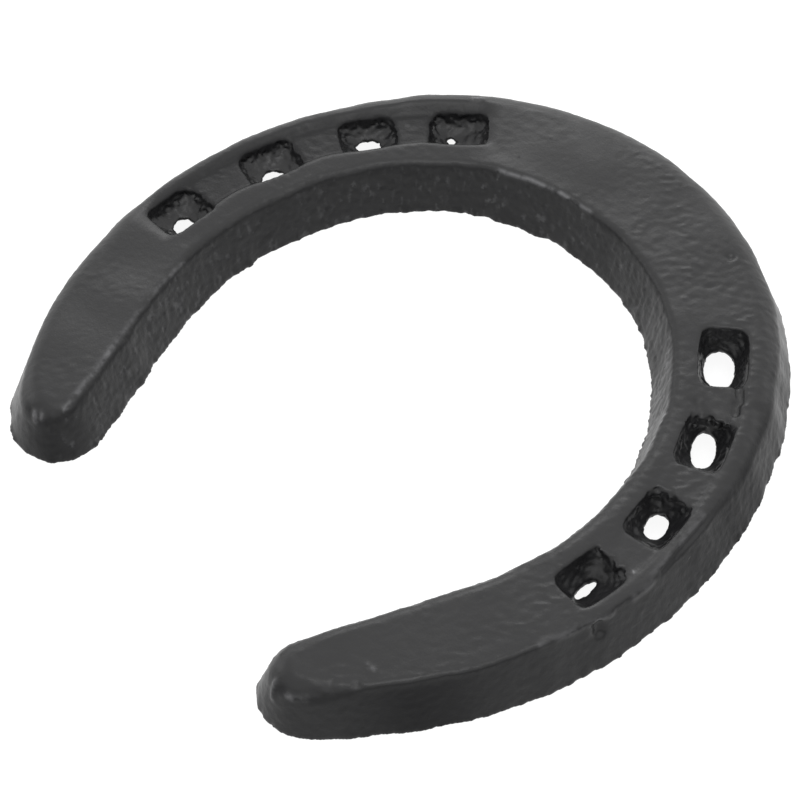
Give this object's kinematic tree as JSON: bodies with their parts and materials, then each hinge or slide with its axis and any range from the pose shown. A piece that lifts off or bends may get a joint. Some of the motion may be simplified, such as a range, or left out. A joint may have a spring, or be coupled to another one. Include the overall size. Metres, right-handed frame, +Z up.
{
  "type": "horseshoe",
  "caption": "U-shaped cast-iron horseshoe with drafted walls, rounded heels, a shallow fuller on each branch and tapered rectangular nail pockets.",
  "frame": {"origin": "centre of the bounding box on the hoof face, the plane that the shoe lies on", "axes": "+Y towards the toe, +X towards the right branch with the toe away, +Z up out of the fullered ground face"},
  "size_m": [0.127, 0.1304, 0.0108],
  "materials": {
    "painted_iron": "satin black paint over sand-cast iron"
  },
  "bodies": {
    "root": {"horseshoe_casting": "painted_iron"}
  },
  "joints": []
}
